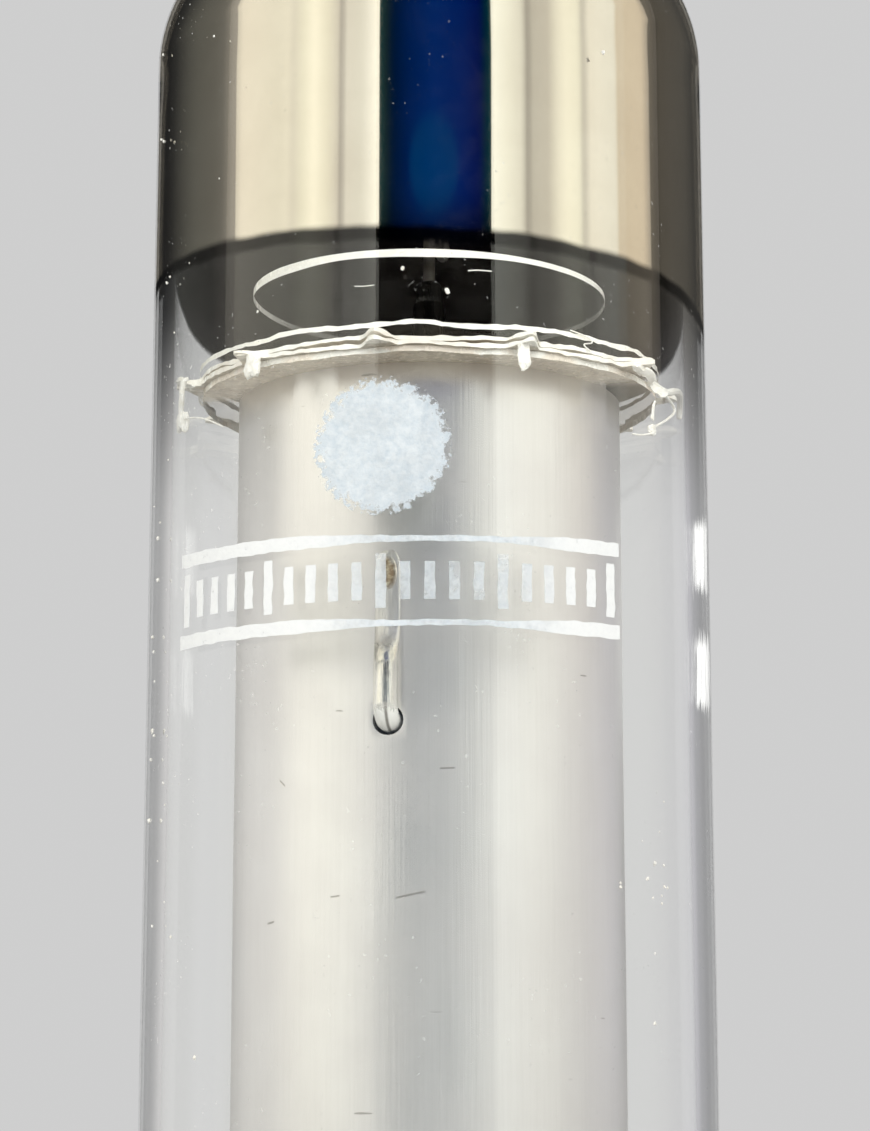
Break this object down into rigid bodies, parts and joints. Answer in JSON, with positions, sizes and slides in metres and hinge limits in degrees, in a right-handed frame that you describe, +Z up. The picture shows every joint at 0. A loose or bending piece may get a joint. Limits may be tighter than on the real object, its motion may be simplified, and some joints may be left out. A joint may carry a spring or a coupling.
{
  "type": "voltage regulator tube",
  "caption": "Miniature gas-filled voltage regulator tube: clear glass bulb, nickel cylinder cathode, central anode rod, mica spacers, getter mirror and a pin base.",
  "frame": {"origin": "on the tube's axis, in the plane of the pin tips", "axes": "+Z up along the tube's axis, towards the exhaust tip; -Y towards the starter wire and the wide gap in the ring of pins"},
  "size_m": [0.0185, 0.0184, 0.0655],
  "materials": {
    "bulb_glass": "clear gloss",
    "button_glass": "clear, pressed",
    "pin_nickel": "satin nickel",
    "cathode_nickel": "satin nickel",
    "anode_metal": "dark drawn rod",
    "white_ceramic": "matt",
    "mica_sheet": "clear flaky sheet",
    "getter_metal": "heat darkened"
  },
  "bodies": {
    "root": {"bulb": "bulb_glass", "button_stem": "button_glass", "pin_1": "pin_nickel", "pin_2": "pin_nickel", "pin_3": "pin_nickel", "pin_4": "pin_nickel", "pin_5": "pin_nickel", "pin_6": "pin_nickel", "pin_7": "pin_nickel", "cathode_cylinder": "cathode_nickel", "starter_wire": "cathode_nickel", "cathode_strap_2": "cathode_nickel", "cathode_strap_4": "cathode_nickel", "cathode_strap_7": "cathode_nickel", "anode_strap_1": "cathode_nickel", "anode_strap_5": "cathode_nickel", "anode_top_collar": "cathode_nickel", "anode_bottom_collar": "cathode_nickel", "anode_rod": "anode_metal", "anode_sleeve": "white_ceramic", "upper_plain_mica": "mica_sheet", "upper_toothed_mica": "mica_sheet", "upper_cover_mica": "mica_sheet", "getter_shield_mica": "mica_sheet", "lower_toothed_mica": "mica_sheet", "lower_plain_mica": "mica_sheet", "getter_ring": "getter_metal", "getter_post": "getter_metal"}
  },
  "joints": []
}
